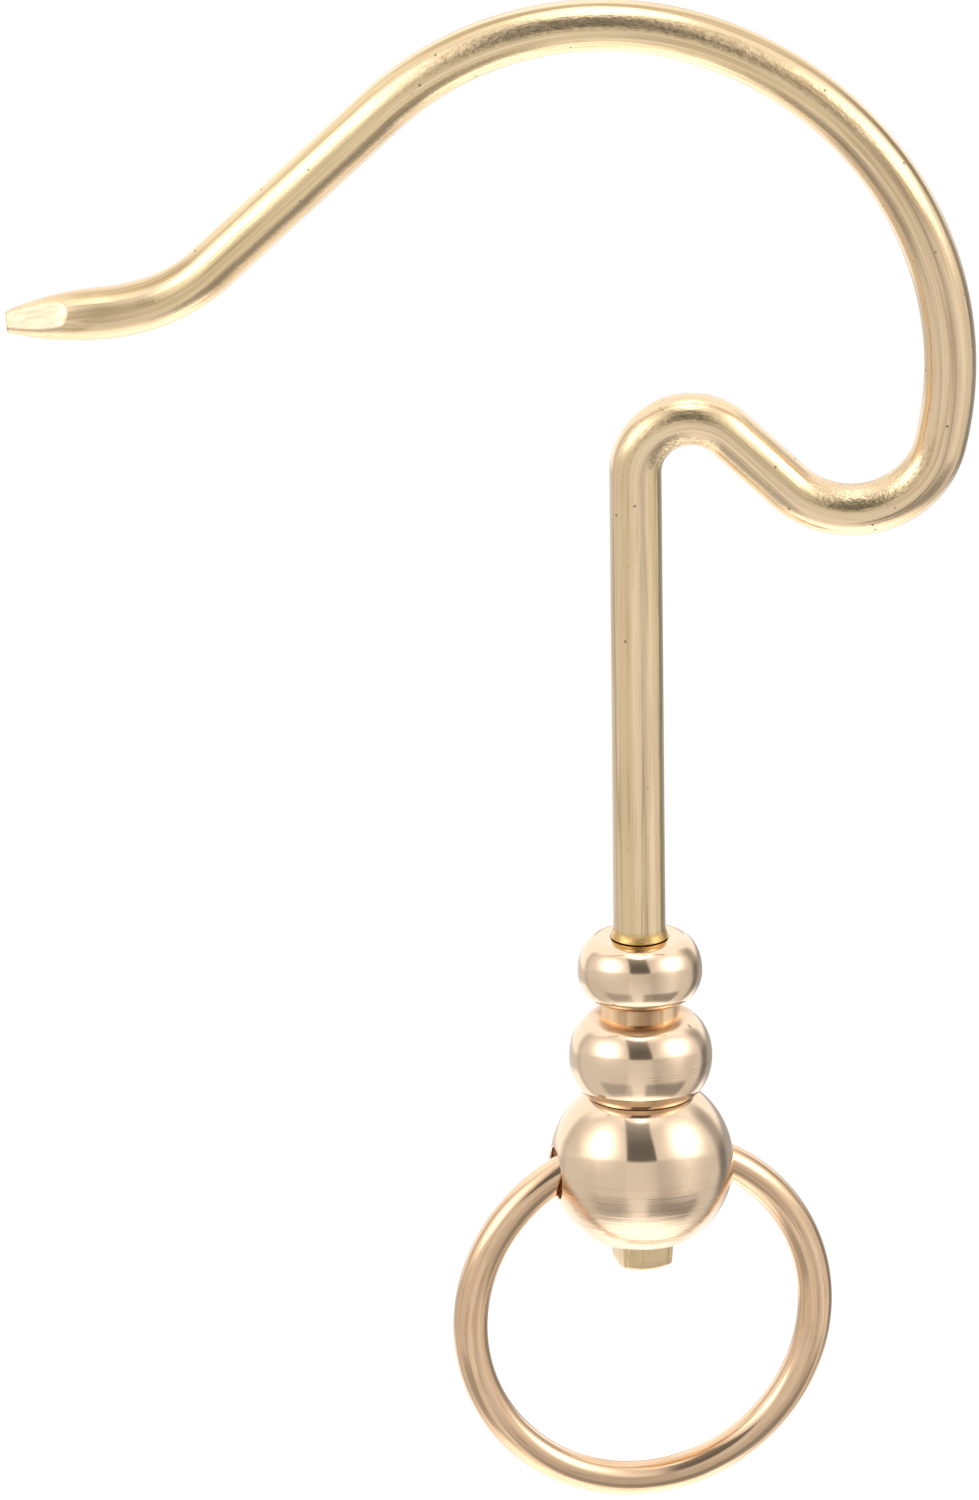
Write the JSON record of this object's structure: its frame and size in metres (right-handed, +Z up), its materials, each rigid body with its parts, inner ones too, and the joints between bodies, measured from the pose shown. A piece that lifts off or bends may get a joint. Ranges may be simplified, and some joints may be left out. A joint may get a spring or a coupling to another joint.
{
  "type": "birdcage hanging hook",
  "caption": "Bent brass rod hook for a rail, with a turned bead collar and a swivelling ball that carries a swinging wire ring for hanging a birdcage.",
  "frame": {"origin": "rail seat: the underside of the arch, in line with the shaft", "axes": "+Z up along the shaft, hook in the XZ plane with its point towards -X, +Y away from the viewer"},
  "size_m": [0.0931, 0.0176, 0.1519],
  "materials": {
    "drawn_brass": "drawn round bar, satin, with fine lines along its length",
    "turned_brass": "turned and polished, with fine rings from the lathe",
    "ring_brass": "polished round wire"
  },
  "bodies": {
    "hook": {"hook_rod": "drawn_brass", "bead_collar": "turned_brass"},
    "ball": {"swivel_ball": "turned_brass"},
    "ring": {"hanging_ring": "ring_brass"}
  },
  "joints": [
    {"name": "ball_swivel", "type": "hinge", "parent": "hook", "child": "ball", "pos_m": [0, 0, -0.11264], "axis": [0, 0, 1], "continuous": true},
    {"name": "ring_swing", "type": "hinge", "parent": "ball", "child": "ring", "pos_m": [0, 0, -0.11304], "axis": [0.9744, 0.225, 0], "range_deg": [-172, 172]}
  ]
}
